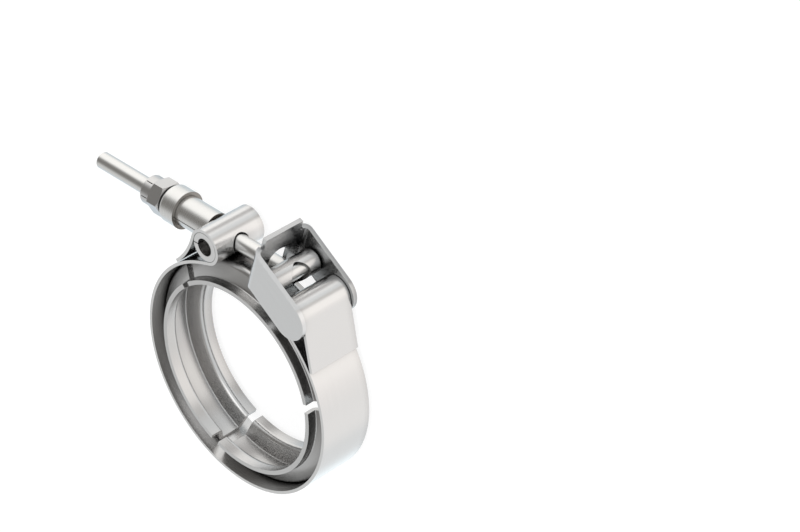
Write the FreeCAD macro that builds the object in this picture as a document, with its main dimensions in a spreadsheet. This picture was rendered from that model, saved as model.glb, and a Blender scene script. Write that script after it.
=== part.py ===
# Quick release V band clamp with a T-bolt latch, for a 76 mm (3 inch) exhaust joint.
# Frame: +Z along the ring's axis, +X along the T-bolt towards the latch, +Y from the
# ring's centre towards the T-bolt. The origin is the ring's centre at half its width.
import FreeCAD, Part
import math
import os
import Sketcher
from FreeCAD import Placement, Rotation, Vector

doc = FreeCAD.newDocument("v_band_clamp")

# Driving dimensions, millimetres and degrees
DIMENSIONS = [
    ("strap_inner_radius", 52.5),
    ("strap_thickness", 1.4),
    ("strap_width", 25.6),
    ("foot_inner_radius", 42.9),
    ("retainer_thickness", 2.0),
    ("groove_half_angle", 20.0),
    ("groove_floor_half", 4.5),
    ("retainer_bend", 0.6),
    ("retainer_gap", 4.0),
    ("retainer_count", 3.0),
    ("first_gap_angle", 10.3),
    ("trunnion_radius", 6.65),
    ("trunnion_bore_radius", 4.0),
    ("trunnion_angle", 104.3),
    ("trunnion_standoff", 0.26),
    ("left_tail_angle", 127.6),
    ("left_leg_bend_radius", 40.0),
    ("pin_radius", 6.3),
    ("pin_bore_radius", 3.5),
    ("pin_angle", 54.2),
    ("pin_standoff", 1.01),
    ("right_tail_angle", 30.8),
    ("running_clearance", 0.09),
    ("tail_gap", 0.2),
    ("seam_gap", 0.45),
    ("tube_edge_round", 0.25),
    ("end_round_share", 0.95),
    ("rod_radius", 3.8),
    ("rod_length", 117.3),
    ("rod_tip_chamfer", 0.5),
    ("cross_hole_clearance", 0.1),
    ("sleeve_slot_rise", 5.05),
    ("sleeve_slot_drop", 10.5),
    ("slot_side_clearance", 0.6),
    ("head_radius", 3.95),
    ("head_recess", 2.7),
    ("barrel_radius", 5.35),
    ("barrel_side_gap", 0.35),
    ("barrel_end_round", 1.25),
    ("barrel_setback", 13.56),
    ("front_hole_radius", 5.1),
    ("front_hole_offset", 1.25),
    ("head_clearance", 0.08),
    ("sleeve_radius", 6.8),
    ("sleeve_clearance", 0.2),
    ("sleeve_seat_gap", 0.1),
    ("sleeve_length", 26.95),
    ("collar_radius", 8.55),
    ("collar_length", 8.58),
    ("collar_round", 1.1),
    ("sleeve_seam_lean", 4.0),
    ("nut_gap", 1.71),
    ("nut_flats", 14.3),
    ("nut_hex_length", 6.85),
    ("nut_collar_radius", 6.6),
    ("nut_collar_length", 5.34),
    ("nut_turn", -4.5),
    ("nut_clearance", 0.05),
    ("nut_slit_width", 0.4),
    ("nut_slit_depth", 4.2),
    ("plate_thickness", 2.0),
    ("plate_clearance", 0.25),
    ("plate_half_width", 9.05),
    ("plate_rise", 0.6),
    ("plate_slope", 35.0),
    ("shoulder_drop", 0.5),
    ("web_tilt", 18.0),
    ("barrel_web_gap", 2.47),
    ("web_bend_radius", 1.9),
    ("web_slot_radius", 5.3),
    ("web_slot_rise", 4.3),
    ("tab_height", 4.0),
    ("tab_half_width", 10.0),
    ("relief_width", 1.15),
    ("relief_depth", 1.5),
]

sheet = doc.addObject("Spreadsheet::Sheet", "dimensions")
for row, (alias, value) in enumerate(DIMENSIONS, start=1):
    sheet.set("A%d" % row, alias)
    sheet.set("B%d" % row, str(value))
    sheet.setAlias("B%d" % row, alias)
doc.recompute()


def size(alias):
    return float(sheet.get(alias))


def bind(feature, prop, expression):
    """Ties a property to cells of the sheet; a word between @ signs is a cell."""
    parts = expression.split("@")
    for i in range(1, len(parts), 2):
        parts[i] = "<<dimensions>>.%s" % parts[i]
    feature.setExpression(prop, "".join(parts))


def make_body(name):
    body = doc.addObject("PartDesign::Body", name)
    body.Label = name
    return body


def plane(body, role):
    return [f for f in body.Origin.OriginFeatures if f.Role == role][0]


def make_sketch(body, name, role, elements):
    """A sketch on one of the body's own planes, drawn with lines and arcs."""
    sketch = body.newObject("Sketcher::SketchObject", name)
    sketch.AttachmentSupport = (plane(body, role), [""])
    sketch.MapMode = "FlatFace"
    for element in elements:
        sketch.addGeometry(element, False)
    return sketch


def circle(x, y, radius):
    return Part.Circle(Vector(x, y, 0), Vector(0, 0, 1), radius)


def bind_radius(sketch, index, expression):
    number = sketch.addConstraint(Sketcher.Constraint("Radius", index, sketch.Geometry[index].Radius))
    bind(sketch, "Constraints[%d]" % number, expression)


def polygon(points):
    """Closed loop of lines through the points."""
    ends = points[1:] + points[:1]
    return [Part.LineSegment(Vector(*a, 0), Vector(*b, 0)) for a, b in zip(points, ends)]


def rectangle(x_low, x_high, y_low, y_high):
    return polygon([(x_low, y_low), (x_high, y_low), (x_high, y_high), (x_low, y_high)])


def pad(body, name, sketch, length, middle=True, reverse=False):
    feature = body.newObject("PartDesign::Pad", name)
    feature.Profile = sketch
    feature.Midplane = middle
    feature.Reversed = reverse
    bind(feature, "Length", length)
    return feature


def pocket(body, name, sketch, length=None, middle=True, reverse=False):
    feature = body.newObject("PartDesign::Pocket", name)
    feature.Profile = sketch
    feature.Midplane = middle
    feature.Reversed = reverse
    if length is None:
        feature.Type = 1
    else:
        bind(feature, "Length", length)
    return feature


def polar(radius, angle):
    a = math.radians(angle)
    return Vector(radius * math.cos(a), radius * math.sin(a), 0)


STRAP_MIDDLE = size("strap_inner_radius") + size("strap_thickness") / 2
STRAP_OUTER = size("strap_inner_radius") + size("strap_thickness")


def loop_radius(core_radius):
    """Middle radius of the strap where it wraps round a trunnion or pin."""
    return size(core_radius) + size("running_clearance") + size("strap_thickness") / 2


# Places that several pieces share: each loop stands off the ring by its own standoff
LEFT_LOOP = loop_radius("trunnion_radius")
RIGHT_LOOP = loop_radius("pin_radius")
TRUNNION = polar(STRAP_MIDDLE + LEFT_LOOP + size("trunnion_standoff"), size("trunnion_angle"))
PIN = polar(STRAP_MIDDLE + RIGHT_LOOP + size("pin_standoff"), size("pin_angle"))
ROD_Y = TRUNNION.y
HEAD = Vector(PIN.x - size("barrel_setback"), ROD_Y, 0)
PLATE_INNER = size("strap_width") / 2 + size("plate_clearance")
BARREL_LENGTH = 2 * (PLATE_INNER - size("barrel_side_gap"))


# The strap: one strip, bent to a ring with a teardrop loop at each end

def tail_end(tail_angle):
    return polar(STRAP_OUTER + size("tail_gap") + size("strap_thickness") / 2, tail_angle)


def bent_leg(tail, centre, radius, bend):
    """Centre of the arc that runs from the left tail to the loop, and where it meets the loop."""
    to_centre = centre - tail
    along = to_centre * (1 / to_centre.Length)
    reach = bend + radius
    advance = (bend ** 2 - reach ** 2 + to_centre.Length ** 2) / (2 * to_centre.Length)
    aside = Vector(-along.y, along.x, 0) * math.sqrt(bend ** 2 - advance ** 2)
    bend_centre = tail + along * advance + aside
    return bend_centre, centre + (bend_centre - centre) * (radius / reach)


def straight_leg(tail, centre, radius):
    """Where the straight leg of the right tail meets the loop."""
    to_centre = centre - tail
    lean = math.degrees(math.asin(radius / to_centre.Length))
    bearing = math.degrees(math.atan2(to_centre.y, to_centre.x)) - lean
    return tail + polar(math.sqrt(to_centre.Length ** 2 - radius ** 2), bearing)


def loop_to_ring(centre, radius, side):
    """Where the loop leaves for the ring and where that straight meets it; side is 1 on the left."""
    centre_angle = math.degrees(math.atan2(centre.y, centre.x))
    lean = math.degrees(math.acos((STRAP_MIDDLE + radius) / centre.Length))
    ring_joint_angle = centre_angle + side * lean
    ring_joint = polar(STRAP_MIDDLE, ring_joint_angle)
    return centre - polar(radius, ring_joint_angle), ring_joint


def angle_of(point, centre):
    return math.atan2(point.y - centre.y, point.x - centre.x)


def offset_line(start, end, shift):
    along = (end - start).normalize()
    aside = Vector(-along.y, along.x, 0) * shift
    return Part.LineSegment(start + aside, end + aside)


def offset_arc(centre, radius, start, end, clockwise, shift):
    """Arc of the middle line moved by shift to the left of the way it is travelled."""
    grown = radius + shift if clockwise else radius - shift
    a, b = angle_of(start, centre), angle_of(end, centre)
    if clockwise:
        a, b = b, a
    if b <= a:
        b += 2 * math.pi
    return Part.ArcOfCircle(Part.Circle(centre, Vector(0, 0, 1), grown), a, b)


def strap_outline():
    bend = size("left_leg_bend_radius")
    tail_a = tail_end(size("left_tail_angle"))
    tail_b = tail_end(size("right_tail_angle"))
    bend_centre, leg_a = bent_leg(tail_a, TRUNNION, LEFT_LOOP, bend)
    leg_b = straight_leg(tail_b, PIN, RIGHT_LOOP)
    loop_a, ring_a = loop_to_ring(TRUNNION, LEFT_LOOP, 1)
    loop_b, ring_b = loop_to_ring(PIN, RIGHT_LOOP, -1)
    half = size("strap_thickness") / 2
    edges = []
    for shift in (half, -half):
        edges += [
            offset_arc(bend_centre, bend, tail_a, leg_a, False, shift),
            offset_arc(TRUNNION, LEFT_LOOP, leg_a, loop_a, True, shift),
            offset_line(loop_a, ring_a, shift),
            offset_arc(Vector(0, 0, 0), STRAP_MIDDLE, ring_a, ring_b, False, shift),
            offset_line(ring_b, loop_b, shift),
            offset_arc(PIN, RIGHT_LOOP, loop_b, leg_b, True, shift),
            offset_line(leg_b, tail_b, shift),
        ]
    edges.append(Part.LineSegment(edges[0].StartPoint, edges[7].StartPoint))
    edges.append(Part.LineSegment(edges[6].EndPoint, edges[13].EndPoint))
    return edges


strap = make_body("band_strap")
strap_sketch = make_sketch(strap, "strap_outline", "XY_Plane", strap_outline())
pad(strap, "strap_strip", strap_sketch, "@strap_width@")
# The sleeve's slot goes through the left leg alone and stops short of the ring below it
slot_low = ROD_Y - size("sleeve_slot_drop")
slot_high = ROD_Y + size("sleeve_slot_rise")
slot_far = TRUNNION.x - 4 * LEFT_LOOP
over_ring = -math.sqrt((STRAP_OUTER + size("tail_gap")) ** 2 - slot_low ** 2)
sleeve_slot = make_sketch(strap, "sleeve_slot_outline", "XY_Plane", polygon(
    [(slot_far, slot_low), (over_ring, slot_low), (TRUNNION.x, slot_high), (slot_far, slot_high)]))
pocket(strap, "sleeve_slot", sleeve_slot, "2 * (@sleeve_radius@ + @slot_side_clearance@)")
rod_hole = make_sketch(strap, "rod_hole_outline", "YZ_Plane", [circle(ROD_Y, 0, size("rod_radius"))])
rod_hole.AttachmentOffset = Placement(Vector(0, 0, TRUNNION.x), Rotation())
bind_radius(rod_hole, 0, "@rod_radius@ + @slot_side_clearance@")
pocket(strap, "rod_hole", rod_hole, "2 * (@trunnion_radius@ + @strap_thickness@)", middle=False, reverse=True)


# The V retainers: roll formed segments with a foot each side, sloping walls and a crown

def retainer_profile():
    """Closed section in the plane through the ring's axis, x as radius and y as axial."""
    thick = size("retainer_thickness")
    foot = size("foot_inner_radius")
    crown = size("strap_inner_radius") - thick
    floor_half = size("groove_floor_half")
    slope = math.radians(size("groove_half_angle"))
    foot_corner = floor_half + (crown - foot) * math.tan(slope)
    half = size("strap_width") / 2
    shift = thick * math.tan((math.pi / 2 - slope) / 2)
    inner = [(foot, half), (foot, foot_corner), (crown, floor_half)]
    outer = [(foot + thick, half), (foot + thick, foot_corner + shift), (crown + thick, floor_half + shift)]
    return inner, outer


def rounded(points, radii):
    """Closed loop through the points with each corner rounded by its radius."""
    count = len(points)
    corners = []
    for i in range(count):
        before, here, after = (Vector(*points[(i + k) % count], 0) for k in (-1, 0, 1))
        if radii[i] == 0:
            corners.append((here, None, here))
            continue
        back = (before - here).normalize()
        forth = (after - here).normalize()
        half_angle = back.getAngle(forth) / 2
        run = radii[i] / math.tan(half_angle)
        centre = here + (back + forth).normalize() * (radii[i] / math.sin(half_angle))
        start, end = here + back * run, here + forth * run
        middle = centre + (here - centre).normalize() * radii[i]
        corners.append((start, middle, end))
    elements = []
    for i in range(count):
        start, middle, end = corners[i]
        if middle is not None:
            elements.append(Part.Arc(start, middle, end))
        following = corners[(i + 1) % count][0]
        elements.append(Part.LineSegment(end, following))
    return elements


retainer_inner, retainer_outer = retainer_profile()
tight = size("retainer_bend")
wide = tight + size("retainer_thickness")
section = retainer_inner + [(x, -y) for x, y in reversed(retainer_inner)]
section_radii = [0, wide, tight, tight, wide, 0]
section += [(x, -y) for x, y in retainer_outer] + list(reversed(retainer_outer))
section_radii += [0, tight, wide, wide, tight, 0]

gap_angle = 2 * math.degrees(math.asin(size("retainer_gap") / 2 / size("foot_inner_radius")))
segment_pitch = 360.0 / size("retainer_count")
for number in range(int(size("retainer_count"))):
    retainer = make_body("v_retainer_%d" % (number + 1))
    profile = make_sketch(retainer, "section_%d" % (number + 1), "XZ_Plane", rounded(section, section_radii))
    turn = retainer.newObject("PartDesign::Revolution", "segment_%d" % (number + 1))
    turn.Profile = profile
    turn.ReferenceAxis = (profile, ["V_Axis"])
    turn.Angle = segment_pitch - gap_angle
    start_angle = size("first_gap_angle") + number * segment_pitch + gap_angle / 2
    retainer.Placement = Placement(Vector(0, 0, 0), Rotation(Vector(0, 0, 1), start_angle))


# Rolled tubes: the trunnion in the left loop, the latch's pin in the right loop, and the
# barrel round the T-bolt's head

def rolled_tube(name, radius, bore, length, end_round, centre, seam_angle):
    """Tube rolled from plate, its ends rounded outside, with its open seam at seam_angle.

    The rounding takes at most a set share of the tube's wall."""
    body = make_body(name)
    corner = min(size(end_round), (radius - bore) * size("end_round_share"))
    wall = make_sketch(body, name + "_wall", "XZ_Plane", rounded(
        [(bore, -length / 2), (radius, -length / 2), (radius, length / 2), (bore, length / 2)],
        [0, corner, corner, 0]))
    roll = body.newObject("PartDesign::Revolution", name + "_roll")
    roll.Profile = wall
    roll.ReferenceAxis = (wall, ["V_Axis"])
    roll.Angle = 360
    turn = Rotation(Vector(0, 0, 1), seam_angle)
    half = size("seam_gap") / 2
    seam = make_sketch(body, name + "_seam_outline", "XY_Plane", rectangle(0, 2 * radius, -half, half))
    seam.AttachmentOffset = Placement(Vector(0, 0, 0), turn)
    pocket(body, name + "_seam", seam, "2 * @strap_width@")
    body.Placement = Placement(centre, Rotation())
    return body


def cross_drill(body, name, radius_expression, offset=0.0, middle=True):
    """Round hole along the T-bolt's axis; offset is its place along the tube."""
    hole = make_sketch(body, body.Name + "_" + name + "_outline", "YZ_Plane", [circle(0, offset, 1)])
    bind_radius(hole, 0, radius_expression)
    if middle:
        pocket(body, body.Name + "_" + name, hole)
    else:
        pocket(body, body.Name + "_" + name, hole, "2 * @barrel_radius@", middle=False, reverse=True)


ROD_HOLE = "@rod_radius@ + @cross_hole_clearance@"
trunnion = rolled_tube("trunnion", size("trunnion_radius"), size("trunnion_bore_radius"),
                       size("strap_width"), "tube_edge_round", TRUNNION, 180)
cross_drill(trunnion, "cross_hole", ROD_HOLE)
pin = rolled_tube("latch_pin", size("pin_radius"), size("pin_bore_radius"),
                  2 * PLATE_INNER, "tube_edge_round", PIN, -90)
barrel = rolled_tube("t_bolt_barrel", size("barrel_radius"), size("head_radius") + size("head_clearance"),
                     BARREL_LENGTH, "barrel_end_round", HEAD, -90)
cross_drill(barrel, "cross_hole", ROD_HOLE)
# The front hole is wider and off the middle, so that the bolt's head can be slid in
cross_drill(barrel, "front_hole", "@front_hole_radius@", -size("front_hole_offset"), middle=False)

# The T-bolt: a rod with a round cross head
t_bolt = make_body("t_bolt")
rod_end = make_sketch(t_bolt, "rod_section", "YZ_Plane", [circle(0, 0, 1)])
bind_radius(rod_end, 0, "@rod_radius@")
pad(t_bolt, "rod", rod_end, "@rod_length@", middle=False, reverse=True)
head_disc = make_sketch(t_bolt, "head_disc", "XY_Plane", [circle(0, 0, 1)])
bind_radius(head_disc, 0, "@head_radius@")
pad(t_bolt, "head", head_disc, "@strap_width@ + 2 * (@plate_clearance@ - @barrel_side_gap@ - @head_recess@)")
doc.recompute()


def cut_by_turning(body, name, points):
    """Groove turned about the local X axis; points are (along X, radius)."""
    outline = make_sketch(body, name + "_outline", "XY_Plane", polygon(points))
    groove = body.newObject("PartDesign::Groove", name)
    groove.Profile = outline
    groove.ReferenceAxis = (outline, ["H_Axis"])
    groove.Angle = 360
    return groove


tip = -size("rod_length")
rod = size("rod_radius")
bevel = size("rod_tip_chamfer")
cut_by_turning(t_bolt, "rod_tip", [(tip - 1, rod - bevel), (tip, rod - bevel), (tip + bevel, rod),
                                   (tip + bevel, rod + 1), (tip - 1, rod + 1)])
t_bolt.Placement = Placement(HEAD, Rotation())


# Turned pieces on the rod: the thrust sleeve and the lock nut

SLEEVE_END_X = TRUNNION.x - size("trunnion_radius") - size("sleeve_seat_gap")
SLEEVE_START_X = SLEEVE_END_X - size("sleeve_length")
sleeve_bore = size("rod_radius") + size("sleeve_clearance")
sleeve_outline = rounded(
    [(0, sleeve_bore), (0, size("collar_radius")),
     (size("collar_length"), size("collar_radius")), (size("collar_length"), size("sleeve_radius")),
     (size("sleeve_length"), size("sleeve_radius")), (size("sleeve_length"), sleeve_bore)],
    [0, size("collar_round"), 0, 0, 0, 0])
sleeve = make_body("thrust_sleeve")
sleeve_section = make_sketch(sleeve, "sleeve_section", "XY_Plane", sleeve_outline)
sleeve_turned = sleeve.newObject("PartDesign::Revolution", "sleeve_turned")
sleeve_turned.Profile = sleeve_section
sleeve_turned.ReferenceAxis = (sleeve_section, ["H_Axis"])
sleeve_turned.Angle = 360
sleeve_seam = make_sketch(sleeve, "sleeve_seam_outline", "XZ_Plane", rectangle(
    size("collar_length"), 2 * size("sleeve_length"), 0, 2 * size("sleeve_radius")))
pocket(sleeve, "sleeve_seam", sleeve_seam, "@seam_gap@")
sleeve_turn = Rotation(Vector(1, 0, 0), size("sleeve_seam_lean"))
sleeve.Placement = Placement(Vector(SLEEVE_START_X, ROD_Y, 0), sleeve_turn)

NUT_END_X = SLEEVE_START_X - size("nut_gap")
nut = make_body("lock_nut")
corner = size("nut_flats") / 2 / math.cos(math.radians(30))
hexagon = [(corner * math.cos(math.radians(60 * k + 30)), corner * math.sin(math.radians(60 * k + 30)))
           for k in range(6)]
hex_sketch = make_sketch(nut, "nut_hexagon", "YZ_Plane", polygon(hexagon))
pad(nut, "nut_hex", hex_sketch, "@nut_hex_length@", middle=False, reverse=True)
collar_sketch = make_sketch(nut, "nut_collar_disc", "YZ_Plane", [circle(0, 0, 1)])
bind_radius(collar_sketch, 0, "@nut_collar_radius@")
pad(nut, "nut_collar", collar_sketch, "@nut_hex_length@ + @nut_collar_length@", middle=False, reverse=True)
nut_hole = make_sketch(nut, "nut_hole", "YZ_Plane", [circle(0, 0, 1)])
bind_radius(nut_hole, 0, "@rod_radius@ + @nut_clearance@")
pocket(nut, "nut_bore", nut_hole)
doc.recompute()
flat = size("nut_flats") / 2
rise = corner - flat
drop = rise * math.tan(math.radians(30))
hex_back = -size("nut_hex_length")
cut_by_turning(nut, "nut_front_chamfer", [(1, flat), (0, flat), (-drop, corner),
                                          (-drop, corner + 1), (1, corner + 1)])
cut_by_turning(nut, "nut_back_chamfer", [(hex_back - 1, flat), (hex_back, flat), (hex_back + drop, corner),
                                         (hex_back + drop, corner + 1), (hex_back - 1, corner + 1)])
nut_end = hex_back - size("nut_collar_length")
slit_half = size("nut_slit_width") / 2
slit = make_sketch(nut, "nut_slit_outline", "XZ_Plane", rectangle(
    nut_end - 1, nut_end + size("nut_slit_depth"), 0, 2 * size("nut_collar_radius")))
slit_cut = pocket(nut, "nut_slit", slit, "@nut_slit_width@")
doc.recompute()
slit_ring = nut.newObject("PartDesign::PolarPattern", "nut_slits")
slit_ring.Originals = [slit_cut]
slit_ring.Axis = (plane(nut, "X_Axis"), [""])
slit_ring.Angle = 360
slit_ring.Occurrences = 6
nut.Tip = slit_ring
nut.Placement = Placement(Vector(NUT_END_X, ROD_Y, 0), Rotation(Vector(1, 0, 0), size("nut_turn")))


# The latch bracket: one plate folded to a channel, with a slotted web and a lift tab.
# Its own frame has the pin's axis as Z, and X along the side plates towards the pin.
PLATE_OUTER = PLATE_INNER + size("plate_thickness")
plate_top = size("plate_rise") + size("plate_half_width")
plate_bottom = size("plate_rise") - size("plate_half_width")
web_angle = 180 + size("web_tilt")
web_out = polar(1, web_angle)
web_up = polar(1, web_angle - 90)

# The web stands clear of the barrel by a named gap, and its slot follows the rod
to_bracket = Rotation(Vector(0, 0, 1), size("plate_slope"))
head_there = to_bracket.multVec(HEAD - PIN)
rod_way = to_bracket.multVec(Vector(-1, 0, 0))
WEB_INNER = head_there.dot(web_out) + size("barrel_radius") + size("barrel_web_gap")
WEB_OUTER = WEB_INNER + size("plate_thickness")
BEND_OUTER = size("web_bend_radius") + size("plate_thickness")
rod_run = ((WEB_INNER + WEB_OUTER) / 2 - head_there.dot(web_out)) / rod_way.dot(web_out)
rod_height = (head_there + rod_way * rod_run).dot(web_up)


def on_web(distance, height):
    """Point of the bracket's XY frame at a distance from the pin's axis and a height up the web."""
    return web_out * distance + web_up * height


def height_at(y_value, distance):
    """Height up the web where a line level with the side plates crosses it."""
    return (y_value - web_out.y * distance) / web_up.y


bottom_height = height_at(plate_bottom, WEB_OUTER - BEND_OUTER)
top_height = height_at(plate_top, WEB_OUTER)
shoulder_height = height_at(plate_top - size("shoulder_drop"), WEB_OUTER)
corner_low = on_web(WEB_OUTER - BEND_OUTER, bottom_height)
corner_web_low = on_web(WEB_OUTER, bottom_height)
corner_web_top = on_web(WEB_OUTER, shoulder_height)
plate_edges = [
    Part.LineSegment(Vector(0, plate_bottom, 0), corner_low),
    Part.LineSegment(corner_low, corner_web_low),
    Part.LineSegment(corner_web_low, corner_web_top),
    Part.LineSegment(corner_web_top, Vector(0, plate_top, 0)),
    Part.ArcOfCircle(circle(0, size("plate_rise"), size("plate_half_width")), -math.pi / 2, math.pi / 2),
]
outline_body = make_body("plate_outline_block")
plate_sketch = make_sketch(outline_body, "plate_outline", "XY_Plane", plate_edges)
pad(outline_body, "plate_block", plate_sketch, "4 * @strap_width@")


def web_box(name, near, high, length, width, height, middle=0.0):
    """Block square to the web, its near side off the pin and its top up the web.

    length runs away from the pin, width down the web, height along the pin."""
    box = doc.addObject("Part::Box", name)
    bind(box, "Length", length)
    bind(box, "Width", width)
    bind(box, "Height", height)
    doc.recompute()
    box.Placement = Placement(on_web(near, high) + Vector(0, 0, middle - float(box.Height) / 2),
                              Rotation(Vector(0, 0, 1), web_angle))
    return box


def upright_edges(shape, distance):
    """Numbers of the edges that run up the web at a distance from the pin's axis."""
    found = []
    for number, edge in enumerate(shape.Edges, start=1):
        ends = [v.Point for v in edge.Vertexes]
        along = (ends[1] - ends[0]).normalize()
        if abs(abs(along.dot(web_up)) - 1) < 1e-6 and abs(ends[0].dot(web_out) - distance) < 1e-6:
            found.append(number)
    return found


def round_edges(name, block, distance, radius):
    fillet = doc.addObject("Part::Fillet", name)
    fillet.Base = block
    fillet.Edges = [(number, radius, radius) for number in upright_edges(block.Shape, distance)]
    return fillet


# Blocks longer than the bracket, whose far faces are the web's two sides
FAR = "8 * @plate_half_width@"
far = 8 * size("plate_half_width")
outer_block = web_box("channel_outer_block", WEB_OUTER - far, far / 2, FAR, FAR,
                      "@strap_width@ + 2 * (@plate_clearance@ + @plate_thickness@)")
inner_block = web_box("channel_inner_block", WEB_INNER - far, far / 2, FAR, FAR,
                      "@strap_width@ + 2 * @plate_clearance@")
channel = doc.addObject("Part::Cut", "channel")
channel.Base = round_edges("channel_outer", outer_block, WEB_OUTER, BEND_OUTER)
channel.Tool = round_edges("channel_inner", inner_block, WEB_INNER, size("web_bend_radius"))
folded = doc.addObject("Part::Common", "folded_plate")
folded.Base = channel
folded.Tool = outline_body

with_tab = doc.addObject("Part::Fuse", "plate_with_tab")
with_tab.Base = folded
with_tab.Tool = web_box("lift_tab", WEB_INNER, top_height + size("tab_height"),
                        "@plate_thickness@", "3 * @tab_height@", "2 * @tab_half_width@")

slot_height = rod_height + size("web_slot_rise")
before_web = WEB_INNER - size("plate_thickness")
slot_top = doc.addObject("Part::Cylinder", "web_slot_top")
bind(slot_top, "Radius", "@web_slot_radius@")
bind(slot_top, "Height", "3 * @plate_thickness@")
slot_top.Placement = Placement(on_web(before_web, slot_height), Rotation(Vector(0, 0, 1), web_out))
slot_sides = web_box("web_slot_sides", before_web, slot_height,
                     "3 * @plate_thickness@", FAR, "2 * @web_slot_radius@")
reliefs = []
for name, side in (("relief_front", 1), ("relief_back", -1)):
    reliefs.append(web_box(name, before_web, top_height + 2 * size("tab_height"), "3 * @plate_thickness@",
                           "2 * @tab_height@ + @relief_depth@", "@relief_width@",
                           middle=side * (size("tab_half_width") + size("relief_width") / 2)))
openings = doc.addObject("Part::MultiFuse", "web_openings")
openings.Shapes = [slot_top, slot_sides] + reliefs
bracket = doc.addObject("Part::Cut", "latch_bracket")
bracket.Label = "latch_bracket"
bracket.Base = with_tab
bracket.Tool = openings
bracket.Placement = Placement(PIN, Rotation(Vector(0, 0, 1), -size("plate_slope")))

# Check and write the pieces
doc.recompute()
for item in doc.Objects:
    if "Invalid" in item.State or "Error" in item.State:
        raise SystemExit("failed feature: %s %s" % (item.Name, item.State))

pieces = [strap, trunnion, barrel, t_bolt, sleeve, nut, bracket, pin]
pieces += [doc.getObject("v_retainer_%d" % (k + 1)) for k in range(int(size("retainer_count")))]
for piece in pieces:
    if piece.Shape.isNull() or not piece.Shape.isValid():
        raise SystemExit("bad shape: " + piece.Label)

os.makedirs("parts", exist_ok=True)
for piece in pieces:
    piece.Shape.exportStep("parts/%s.step" % piece.Label)
    box = piece.Shape.BoundBox
    print("%-16s solids %d volume %.1f box %.2f %.2f %.2f to %.2f %.2f %.2f" % (
        piece.Label, len(piece.Shape.Solids), piece.Shape.Volume,
        box.XMin, box.YMin, box.ZMin, box.XMax, box.YMax, box.ZMax))
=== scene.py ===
import math

import bmesh
import bpy
from mathutils import Matrix, Vector


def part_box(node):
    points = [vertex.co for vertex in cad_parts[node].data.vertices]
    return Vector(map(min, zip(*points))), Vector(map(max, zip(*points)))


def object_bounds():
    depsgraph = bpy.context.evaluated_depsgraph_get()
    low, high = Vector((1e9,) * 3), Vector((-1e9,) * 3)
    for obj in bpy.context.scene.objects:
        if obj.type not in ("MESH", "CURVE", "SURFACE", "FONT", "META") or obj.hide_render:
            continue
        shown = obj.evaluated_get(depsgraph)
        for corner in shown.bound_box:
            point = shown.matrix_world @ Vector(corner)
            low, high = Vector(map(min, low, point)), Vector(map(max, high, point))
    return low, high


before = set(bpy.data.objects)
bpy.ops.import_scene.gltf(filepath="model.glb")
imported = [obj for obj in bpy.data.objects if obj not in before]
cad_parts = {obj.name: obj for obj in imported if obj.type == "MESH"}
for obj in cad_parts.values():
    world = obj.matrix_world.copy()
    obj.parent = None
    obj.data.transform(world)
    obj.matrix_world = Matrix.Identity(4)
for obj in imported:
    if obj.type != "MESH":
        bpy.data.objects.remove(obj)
cad_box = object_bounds()

MM = 0.001


def middle(box):
    """The centre of a box, given by its lowest and highest corners."""
    low, high = box
    return (Vector(low) + Vector(high)) / 2


# Places taken from the frame
FLOOR_Z = cad_box[0][2]
RING_CENTRE = (0, 0, 0)
TRUNNION_CENTRE = middle(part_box("trunnion"))
PIN_CENTRE = middle(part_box("latch_pin"))
BARREL_CENTRE = middle(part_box("t_bolt_barrel"))
BOLT_AXIS = (0, TRUNNION_CENTRE.y, 0)

# The side plates slope down by this much towards the pin, and were brushed along the slope
PLATE_SLOPE = math.radians(-35)


def linear(hex_colour):
    """An sRGB hex colour as linear RGBA."""
    channels = [int(hex_colour[i:i + 2], 16) / 255 for i in (1, 3, 5)]
    return [c / 12.92 if c <= 0.04045 else ((c + 0.055) / 1.055) ** 2.4 for c in channels] + [1.0]


def add(tree, kind, inputs=(), **settings):
    """A node with its settings.

    inputs lists values, sockets or nodes in the order of the node's own inputs, or maps the
    names or numbers of its inputs to them. A node stands for its first output in use."""
    node = tree.nodes.new(kind)
    for name, value in settings.items():
        setattr(node, name, value)
    if not isinstance(inputs, dict):
        inputs = dict(enumerate(inputs))
    for key, value in inputs.items():
        socket = node.inputs[key]
        if isinstance(value, bpy.types.Node):
            value = next(output for output in value.outputs if output.enabled)
        if isinstance(value, bpy.types.NodeSocket):
            tree.links.new(value, socket)
        else:
            socket.default_value = value
    return node


def new_material(name):
    """A material with an empty node tree."""
    material = bpy.data.materials.new(name)
    material.use_nodes = True
    material.node_tree.nodes.clear()
    return material


# Coordinates that follow the way each piece was made, in millimetres. The grain runs along the first.

def round_axis(centre, axis):
    """Round an axis that runs through centre, along it, and out from it."""
    def coordinates(tree):
        place = add(tree, "ShaderNodeTexCoord").outputs["Object"]
        moved = add(tree, "ShaderNodeVectorMath", (place, centre), operation="SUBTRACT")
        in_mm = add(tree, "ShaderNodeVectorMath", {0: moved, "Scale": 1 / MM}, operation="SCALE")
        parts = add(tree, "ShaderNodeSeparateXYZ", (in_mm,)).outputs
        across, up, along = {"X": ("Y", "Z", "X"), "Z": ("X", "Y", "Z")}[axis]
        angle = add(tree, "ShaderNodeMath", (parts[up], parts[across]), operation="ARCTAN2")
        up_squared = add(tree, "ShaderNodeMath", (parts[up], 2.0), operation="POWER")
        across_squared = add(tree, "ShaderNodeMath", (parts[across], 2.0), operation="POWER")
        squares = add(tree, "ShaderNodeMath", (up_squared, across_squared), operation="ADD")
        radius = add(tree, "ShaderNodeMath", (squares,), operation="SQRT")
        arc = add(tree, "ShaderNodeMath", (angle, radius), operation="MULTIPLY")
        return add(tree, "ShaderNodeCombineXYZ", (arc, parts[along], radius))
    return coordinates


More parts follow.
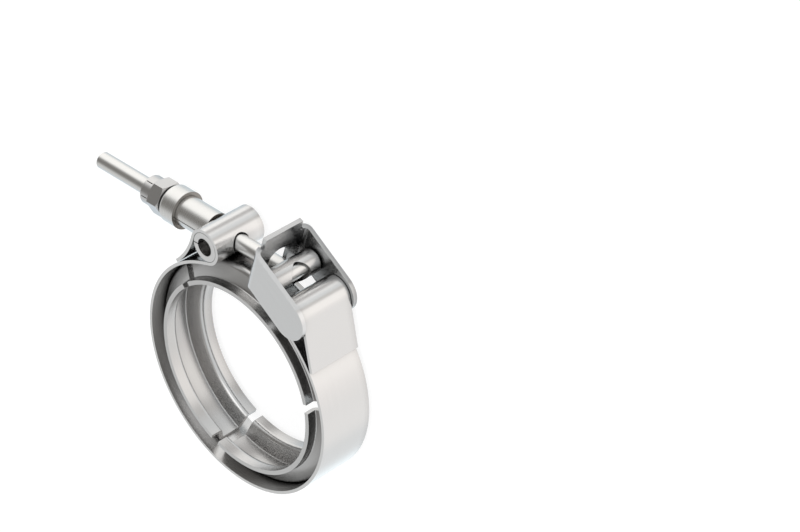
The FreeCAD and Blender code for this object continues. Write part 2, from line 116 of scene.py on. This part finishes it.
def along_slope(angle):
    """Along a slope in the XY plane, and square to it."""
    def coordinates(tree):
        place = add(tree, "ShaderNodeTexCoord").outputs["Object"]
        turned = {"Vector": place, "Rotation": (0, 0, -angle), "Scale": (1 / MM,) * 3}
        return add(tree, "ShaderNodeMapping", turned, vector_type="POINT")
    return coordinates


# How much the grain's lines vary the roughness, and how strongly their depth bends the light
GRAIN_GLOSS = 0.04
GRAIN_BUMP = 0.5
# The octaves of finer lines within the grain's, and how strong each is beside the one before
GRAIN_OCTAVES = 3.0
GRAIN_FADE = 0.6
# The slow clouds in the gloss are about 14 mm across, with two octaves of finer ones
CLOUDS_PER_MM = 0.07
CLOUD_OCTAVES = 2.0
# A face counts as cut square to the X axis when its normal is this close to +X
SQUARE_COSINE = 0.99
# Rays that look for other surfaces round a point, and for the edges near it
FILM_SAMPLES = 8
EDGE_SAMPLES = 6


def steel(name, colours, roughness, coordinates, grain, corner_shade, gap_shade,
          clouds=0.05, edge_mm=0.08, square_face_shade=None):
    """Stainless steel with a grain of fine lines that runs between two colours.

    grain gives the lines' width, length and depth in millimetres. They bend the reflections a
    little and break up the gloss, and slow clouds vary the gloss as handling and rolling do.
    Painted shade darkens the corners and the narrow gaps, where nearby surfaces shade them; one
    argument for corners and one for gaps each give how much, and how far out in millimetres.
    Edges are softened by edge_mm, as deburring leaves them, so they catch a thin line of light.
    The last argument is a darker colour, painted as shade on the faces cut square to the X axis."""
    material = new_material(name)
    tree = material.node_tree
    where = coordinates(tree)

    width_mm, length_mm, depth_mm = grain
    stretched = add(tree, "ShaderNodeVectorMath", (where, (1 / length_mm, 1 / width_mm, 1 / width_mm)),
                    operation="MULTIPLY")
    lines = add(tree, "ShaderNodeTexNoise", {"Vector": stretched, "Scale": 1.0, "Detail": GRAIN_OCTAVES,
                                             "Roughness": GRAIN_FADE})
    slow = add(tree, "ShaderNodeTexNoise", {"Vector": where, "Scale": CLOUDS_PER_MM,
                                            "Detail": CLOUD_OCTAVES})
    fine_gloss = add(tree, "ShaderNodeMath", (lines, GRAIN_GLOSS, roughness - GRAIN_GLOSS / 2),
                     operation="MULTIPLY_ADD")
    slow_gloss = add(tree, "ShaderNodeMath", (slow, clouds, -clouds / 2), operation="MULTIPLY_ADD")
    gloss = add(tree, "ShaderNodeMath", (fine_gloss, slow_gloss), operation="ADD")

    tone = add(tree, "ShaderNodeMix", {"Factor": lines, "A": linear(colours[0]), "B": linear(colours[1])},
               data_type="RGBA")
    # Painted shade: faces cut square to the X axis take a darker colour
    if square_face_shade:
        normal = add(tree, "ShaderNodeTexCoord").outputs["Normal"]
        facing = add(tree, "ShaderNodeSeparateXYZ", (normal,)).outputs["X"]
        square = add(tree, "ShaderNodeMath", (facing, SQUARE_COSINE), operation="GREATER_THAN")
        tone = add(tree, "ShaderNodeMix", {"Factor": square, "A": tone, "B": linear(square_face_shade)},
                   data_type="RGBA")
    # Painted shade: darker where other surfaces lie near, in corners and in narrow gaps
    shade_layers = []
    for amount, reach_mm in (corner_shade, gap_shade):
        openness = add(tree, "ShaderNodeAmbientOcclusion", {"Distance": reach_mm * MM},
                       samples=FILM_SAMPLES).outputs["AO"]
        shade_layers.append(add(tree, "ShaderNodeMath", (openness, amount, 1 - amount), operation="MULTIPLY_ADD"))
    painted_shade = add(tree, "ShaderNodeMath", shade_layers, operation="MULTIPLY")
    dimmed = add(tree, "ShaderNodeVectorMath", {0: tone, "Scale": painted_shade}, operation="SCALE")

    soft_edge = add(tree, "ShaderNodeBevel", {"Radius": edge_mm * MM}, samples=EDGE_SAMPLES)
    bump = add(tree, "ShaderNodeBump", {"Height": lines, "Strength": GRAIN_BUMP,
                                        "Distance": depth_mm * MM, "Normal": soft_edge})
    surface = add(tree, "ShaderNodeBsdfPrincipled", {"Base Color": dimmed, "Roughness": gloss,
                                                     "Metallic": 1.0, "Normal": bump})
    add(tree, "ShaderNodeOutputMaterial", {"Surface": surface})
    return material


def finish_nodes(material, *names):
    """Gives CAD nodes a material."""
    for name in names:
        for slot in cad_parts[name].material_slots:
            slot.material = material


# Cold rolled strip: bright and satin, with the mill's grain along the strip, and painted shade in its
# corners and gaps. The grain of rolled and pressed steel is under 0.1 mm wide, too fine for the picture,
# so on every such piece it is drawn two or three times as wide.
strip_steel = steel("rolled_strip_steel", ("#DBDAD9", "#D3D2D1"), roughness=0.24,
                    coordinates=round_axis(RING_CENTRE, "Z"), grain=(0.22, 30, 0.0010),
                    corner_shade=(0.5, 6), gap_shade=(0.4, 0.5))
finish_nodes(strip_steel, "band_strap")

# Roll formed strip, drawn through rolls into the V: a little darker all over, and painted shade deep in
# the groove
retainer_steel = steel("roll_formed_steel", ("#CCCBCA", "#C3C2C1"), roughness=0.25,
                       coordinates=round_axis(RING_CENTRE, "Z"), grain=(0.25, 40, 0.0012),
                       corner_shade=(0.75, 7), gap_shade=(0.3, 0.5))
finish_nodes(retainer_steel, "v_retainer_1", "v_retainer_2", "v_retainer_3")

# Turned bar: smooth, its lines at the lathe's feed of 0.1 mm; its shoulder face, cut square, is painted
# darker as shade, and its seam takes a painted shade
turned_steel = steel("turned_steel", ("#DBDAD8", "#D9D8D6"), roughness=0.27,
                     coordinates=round_axis(BOLT_AXIS, "X"), grain=(0.1, 25, 0.0001),
                     corner_shade=(0.1, 5), gap_shade=(0.9, 0.5), clouds=0.02, edge_mm=0.0,
                     square_face_shade="#918D89")
finish_nodes(turned_steel, "thrust_sleeve")

# Ground rod: lines as fine as the turned bar's, and a little glossier, with a light painted shade near the
# parts round it
rod_steel = steel("ground_rod_steel", ("#DBDAD8", "#D9D8D6"), roughness=0.26,
                  coordinates=round_axis(BOLT_AXIS, "X"), grain=(0.1, 25, 0.0001),
                  corner_shade=(0.35, 7), gap_shade=(0.2, 0.5), clouds=0.02, edge_mm=0.0)
finish_nodes(rod_steel, "t_bolt")

# Machined nut: duller and darker than the bar, with the widest and deepest marks, round the bore, and
# painted shade in its narrow gaps
nut_steel = steel("machined_nut_steel", ("#CFCECD", "#C4C3C2"), roughness=0.28,
                  coordinates=round_axis(BOLT_AXIS, "X"), grain=(0.3, 12, 0.002),
                  corner_shade=(0.4, 8), gap_shade=(0.9, 0.8), clouds=0.03)
finish_nodes(nut_steel, "lock_nut")

# Tube rolled from strip: satin, with the strip's grain round the tube, and its open seam painted dark as
# shade
trunnion_steel = steel("rolled_tube_steel", ("#DAD9D8", "#D2D1D0"), roughness=0.24,
                       coordinates=round_axis(TRUNNION_CENTRE, "Z"), grain=(0.25, 20, 0.0006),
                       corner_shade=(0.3, 7), gap_shade=(0.97, 0.9))
finish_nodes(trunnion_steel, "trunnion")

# Pin rolled from the same strip: as satin, and painted darker as shade where the strap's loop wraps it
pin_steel = steel("rolled_pin_steel", ("#DAD9D8", "#D2D1D0"), roughness=0.24,
                  coordinates=round_axis(PIN_CENTRE, "Z"), grain=(0.25, 20, 0.0006),
                  corner_shade=(0.5, 9), gap_shade=(0.7, 0.5))
finish_nodes(pin_steel, "latch_pin")

# Barrel rolled from strip: a touch darker all over, and painted shade down inside the bracket
barrel_steel = steel("rolled_barrel_steel", ("#D6D5D4", "#CDCCCB"), roughness=0.25,
                     coordinates=round_axis(BARREL_CENTRE, "Z"), grain=(0.25, 20, 0.0006),
                     corner_shade=(0.7, 10), gap_shade=(0.2, 0.5))
finish_nodes(barrel_steel, "t_bolt_barrel")

# Pressed plate: satin, with its grain along the side plates, and painted shade inside the fold
plate_steel = steel("pressed_plate_steel", ("#DADADA", "#D1D1D1"), roughness=0.26,
                    coordinates=along_slope(PLATE_SLOPE), grain=(0.25, 25, 0.0010),
                    corner_shade=(0.85, 8), gap_shade=(0.1, 0.5))
finish_nodes(plate_steel, "latch_bracket")


# Studio: a white floor inside a pale tent hung with lighter and darker panels, and a soft lamp

FLOOR_HALF_WIDTH = 4.0
FLOOR_CARD = "#949494"
FLOOR_GLOW = 0.85


def floor():
    """White floor that takes the object's shadow; polished metal sees the tent's underside through it."""
    mesh = bmesh.new()
    bmesh.ops.create_grid(mesh, x_segments=1, y_segments=1, size=FLOOR_HALF_WIDTH)
    bmesh.ops.translate(mesh, verts=mesh.verts, vec=(0, 0, FLOOR_Z))
    data = bpy.data.meshes.new("floor")
    mesh.to_mesh(data)
    mesh.free()
    sheet = bpy.data.objects.new("floor", data)
    bpy.context.collection.objects.link(sheet)

    material = new_material("white_card")
    tree = material.node_tree
    ray = add(tree, "ShaderNodeLightPath").outputs
    card = add(tree, "ShaderNodeBsdfDiffuse", {"Color": linear(FLOOR_CARD)})
    strength = add(tree, "ShaderNodeMath", (ray["Is Camera Ray"], FLOOR_GLOW), operation="MULTIPLY")
    glow = add(tree, "ShaderNodeEmission", {"Color": linear("#FFFFFF"), "Strength": strength})
    both = add(tree, "ShaderNodeAddShader", (card, glow))
    clear = add(tree, "ShaderNodeBsdfTransparent")
    mirrored = add(tree, "ShaderNodeMath", (ray["Is Glossy Ray"], ray["Is Transmission Ray"]),
                   operation="MAXIMUM")
    seen = add(tree, "ShaderNodeMixShader", (mirrored, both, clear))
    add(tree, "ShaderNodeOutputMaterial", {"Surface": seen})
    data.materials.append(material)


def lobe(tree, direction, towards, inner, outer):
    """1 within inner degrees of a direction, falling to 0 at outer degrees."""
    aim = Vector(towards).normalized()
    cosine = add(tree, "ShaderNodeVectorMath", (direction, aim), operation="DOT_PRODUCT")
    span = {"Value": cosine, "From Min": math.cos(math.radians(outer)),
            "From Max": math.cos(math.radians(inner))}
    return add(tree, "ShaderNodeMapRange", span, interpolation_type="SMOOTHSTEP")


TENT_COLOUR = "#D8DADB"
TENT_STRENGTH = 1.4
# Panels of the tent, each laid over those before it: the direction it lies in, the degrees
# within which it is full and beyond which it has faded out, and its colour
TENT_PANELS = [
    ((-0.577, -0.577, 0.577), 8, 46, "#C8C9C9"),
    ((0.0, -0.3, 0.95), 8, 44, "#8C8A88"),
    ((-0.577, -0.79, -0.21), 8, 40, "#CAD3DA"),
    ((-0.577, 0.79, -0.21), 10, 50, "#FFFEFC"),
    ((-0.577, 0.30, 0.76), 4, 40, "#6E6C69"),
    ((-0.72, -0.20, -0.66), 8, 34, "#BFC8CD"),
    ((-0.47, -0.67, -0.577), 4, 30, "#F0F8FB"),
    ((0.577, -0.577, -0.577), 3, 22, "#E8E7E6"),
    ((0.70, 0.10, -0.577), 5, 40, "#EEEBE9"),
    ((0.74, 0.35, -0.577), 5, 30, "#FCF9F6"),
    ((0.444, 0.684, -0.577), 3, 11, "#BEBAB6"),
    ((-0.345, 0.74, -0.577), 3, 15, "#A9A7A6"),
]


def surround():
    """The tent, which lights the object and shows in its metal; the camera sees plain white instead."""
    world = bpy.data.worlds.new("studio")
    bpy.context.scene.world = world
    world.use_nodes = True
    tree = world.node_tree
    tree.nodes.clear()
    direction = add(tree, "ShaderNodeTexCoord").outputs["Generated"]
    colour = linear(TENT_COLOUR)
    for towards, inner, outer, shade in TENT_PANELS:
        inside = lobe(tree, direction, towards, inner, outer)
        colour = add(tree, "ShaderNodeMix", {"Factor": inside, "A": colour, "B": linear(shade)},
                     data_type="RGBA")
    tent = add(tree, "ShaderNodeBackground", {"Color": colour, "Strength": TENT_STRENGTH})
    white = add(tree, "ShaderNodeBackground", {"Color": linear("#FFFFFF"), "Strength": 1.0})
    camera_ray = add(tree, "ShaderNodeLightPath").outputs["Is Camera Ray"]
    seen = add(tree, "ShaderNodeMixShader", (camera_ray, tent, white))
    add(tree, "ShaderNodeOutputWorld", {"Surface": seen})


LAMP_PLACE = Vector((0.05, 0.3, 0.8))
LAMP_SIZE = 0.5
LAMP_WATTS = 0.8


def lamp():
    """A soft square lamp overhead, aimed at the ring's centre."""
    data = bpy.data.lights.new("key", "AREA")
    data.shape = "SQUARE"
    data.size = LAMP_SIZE
    data.energy = LAMP_WATTS
    light = bpy.data.objects.new("key", data)
    bpy.context.collection.objects.link(light)
    light.location = LAMP_PLACE
    light.rotation_euler = (-LAMP_PLACE).to_track_quat("-Z", "Y").to_euler()


CAMERA_PLACE = Vector((656.97, 665.64, 572.40)) * MM
CAMERA_LENS_MM = 117.5
CAMERA_SENSOR_MM = 36
CAMERA_CLIP_START = 0.01


def camera():
    """Looks down the (-1, -1, -1) diagonal, rolled so that +Y points up in the picture."""
    data = bpy.data.cameras.new("photo_view")
    data.lens = CAMERA_LENS_MM
    data.sensor_width = CAMERA_SENSOR_MM
    data.clip_start = CAMERA_CLIP_START
    eye = bpy.data.objects.new("photo_view", data)
    bpy.context.collection.objects.link(eye)
    back = Vector((1, 1, 1)).normalized()
    right = Vector((1, 0, -1)).normalized()
    up = back.cross(right)
    turned = Matrix((right, up, back)).transposed().to_4x4()
    eye.matrix_world = Matrix.Translation(CAMERA_PLACE) @ turned
    bpy.context.scene.camera = eye


floor()
surround()
lamp()
camera()
bpy.context.scene.view_settings.view_transform = "Standard"
